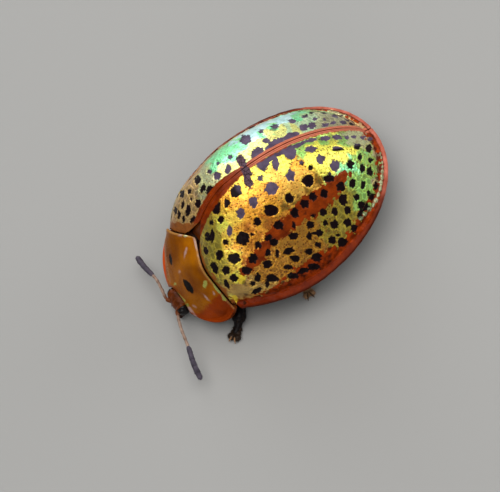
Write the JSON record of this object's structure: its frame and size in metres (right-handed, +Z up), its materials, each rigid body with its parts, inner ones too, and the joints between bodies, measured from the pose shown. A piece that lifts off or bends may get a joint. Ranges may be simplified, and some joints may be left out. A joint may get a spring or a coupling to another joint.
{
  "type": "tortoise beetle",
  "caption": "Life-size tortoise beetle with a high domed shell, a wide neck shield over the head, feelers spread to the sides and short legs under the rim.",
  "frame": {"origin": "on the floor under the middle of the whole beetle, feelers included", "axes": "+Z up, the head points along -Y, +X is the beetle's own left"},
  "size_m": [0.0132, 0.02, 0.0091],
  "materials": {
    "wing_case": "metallic gold and green gloss with dark spots",
    "shield": "glossy amber",
    "head": "satin red-brown",
    "eye": "glossy black",
    "feeler_stem": "satin tan",
    "feeler_club": "downy dark grey",
    "underside": "satin dark brown",
    "leg": "satin black",
    "foot": "hairy tan"
  },
  "bodies": {
    "root": {"elytron_left": "wing_case", "elytron_right": "wing_case", "pronotum": "shield", "scutellum": "shield", "head": "head", "mouthparts": "head", "eye_left": "eye", "eye_right": "eye", "antenna_left_stem": "feeler_stem", "antenna_right_stem": "feeler_stem", "antenna_left_club": "feeler_club", "antenna_right_club": "feeler_club", "prosternum": "underside", "thorax": "underside", "abdomen": "underside", "front_left_femur": "leg", "front_left_tibia": "leg", "front_right_femur": "leg", "front_right_tibia": "leg", "middle_left_femur": "leg", "middle_left_tibia": "leg", "middle_right_femur": "leg", "middle_right_tibia": "leg", "hind_left_femur": "leg", "hind_left_tibia": "leg", "hind_right_femur": "leg", "hind_right_tibia": "leg", "front_left_tarsus": "foot", "front_right_tarsus": "foot", "middle_left_tarsus": "foot", "middle_right_tarsus": "foot", "hind_left_tarsus": "foot", "hind_right_tarsus": "foot"}
  },
  "joints": []
}
